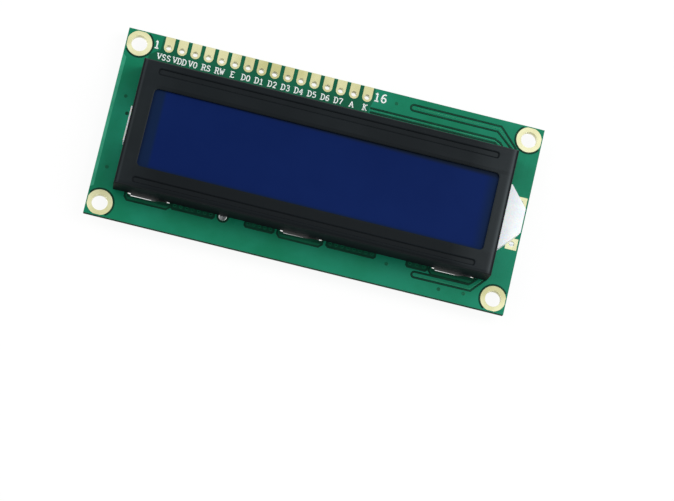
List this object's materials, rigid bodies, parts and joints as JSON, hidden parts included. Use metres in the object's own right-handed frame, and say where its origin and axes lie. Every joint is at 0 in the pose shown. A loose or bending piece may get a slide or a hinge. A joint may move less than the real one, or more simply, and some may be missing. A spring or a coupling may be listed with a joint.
{
  "type": "character lcd module",
  "caption": "Flat display module: a green circuit board with a black steel bezel framing a blue character display, a row of solder pads, corner holes and epoxy-covered chips behind.",
  "frame": {"origin": "middle of the four mounting holes, on the rear face of the circuit board", "axes": "+X along the pin row away from pin 1, +Y across the board towards the pin row, +Z out of the display"},
  "size_m": [0.08, 0.036, 0.0108],
  "materials": {
    "board_green": "green solder mask, semi-gloss",
    "gilded_copper": "pale gilded copper, satin",
    "solder": "bright solder",
    "black_steel": "black coated sheet steel, satin",
    "cell_glass": "polished glass",
    "blue_polariser": "deep blue polariser film",
    "strip_rubber": "layered conductive rubber",
    "white_plastic": "white moulded plastic",
    "clear_acrylic": "clear acrylic",
    "white_film": "white film",
    "lamp_body": "white lamp package",
    "black_epoxy": "glossy black epoxy",
    "resistor_ceramic": "ceramic chip with a black glaze"
  },
  "bodies": {
    "root": {"circuit_board": "board_green", "mounting_rings": "gilded_copper", "tooling_eyelets": "solder", "header_pads": "gilded_copper", "backlight_pads": "gilded_copper", "tab_pads": "gilded_copper", "capacitor_pads": "gilded_copper", "chip_pads": "gilded_copper", "jumper_pads": "gilded_copper", "jumper_solder": "solder", "contact_fingers": "gilded_copper", "controller_blob": "black_epoxy", "driver_blob": "black_epoxy", "resistor_pads": "gilded_copper", "resistor_caps": "solder", "resistor_solder": "solder", "bezel": "black_steel", "front_polariser": "blue_polariser", "front_glass": "cell_glass", "rear_glass": "cell_glass", "rear_polariser": "blue_polariser", "contact_strip_lower": "strip_rubber", "contact_strip_upper": "strip_rubber", "backlight_housing": "white_plastic", "light_guide": "clear_acrylic", "reflector_film": "white_film", "diffuser_film": "white_film", "led": "lamp_body", "led_leads": "solder", "led_solder": "solder", "resistor_1": "resistor_ceramic", "resistor_2": "resistor_ceramic", "resistor_3": "resistor_ceramic", "resistor_4": "resistor_ceramic", "resistor_5": "resistor_ceramic", "resistor_6": "resistor_ceramic", "resistor_7": "resistor_ceramic", "lamp_resistor_1": "resistor_ceramic", "lamp_resistor_2": "resistor_ceramic"}
  },
  "joints": []
}
